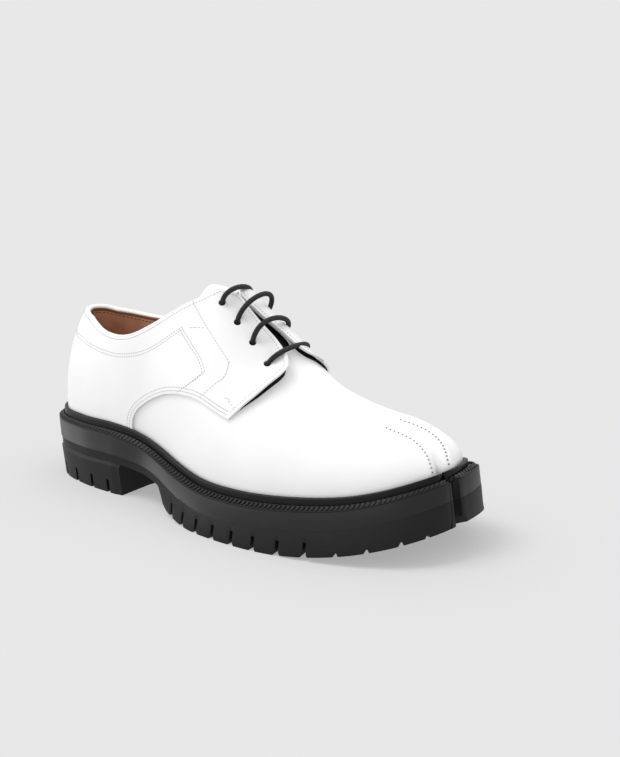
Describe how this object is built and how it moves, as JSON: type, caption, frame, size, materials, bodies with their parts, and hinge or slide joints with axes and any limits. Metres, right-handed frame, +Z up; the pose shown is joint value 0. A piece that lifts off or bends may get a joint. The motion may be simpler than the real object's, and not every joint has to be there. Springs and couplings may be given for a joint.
{
  "type": "split-toe derby shoe",
  "caption": "Right derby shoe with a split toe: hollow leather upper, open throat with laces and tongue, welt, midsole, lugged rubber outsole and stacked heel.",
  "frame": {"origin": "on the floor under the middle of the shoe's outline", "axes": "+X towards the toe, +Y towards the inner side of this right shoe, +Z up"},
  "size_m": [0.3071, 0.1144, 0.1383],
  "materials": {
    "tread_rubber": "matte black moulded rubber",
    "heel_rubber": "matte black moulded rubber",
    "midsole_rubber": "satin black rubber",
    "welt_rubber": "satin black, notched along its top",
    "tan_leather": "tan lining leather",
    "white_leather": "smooth white calf, soft gloss",
    "tongue_leather": "smooth white calf",
    "lace_cotton": "round black waxed cotton lace"
  },
  "bodies": {
    "root": {"outsole": "tread_rubber", "heel": "heel_rubber", "midsole": "midsole_rubber", "welt": "welt_rubber", "insole": "tan_leather", "upper": "white_leather", "tongue": "tongue_leather", "lace_1": "lace_cotton", "lace_2": "lace_cotton", "lace_3": "lace_cotton", "lace_4": "lace_cotton"}
  },
  "joints": []
}
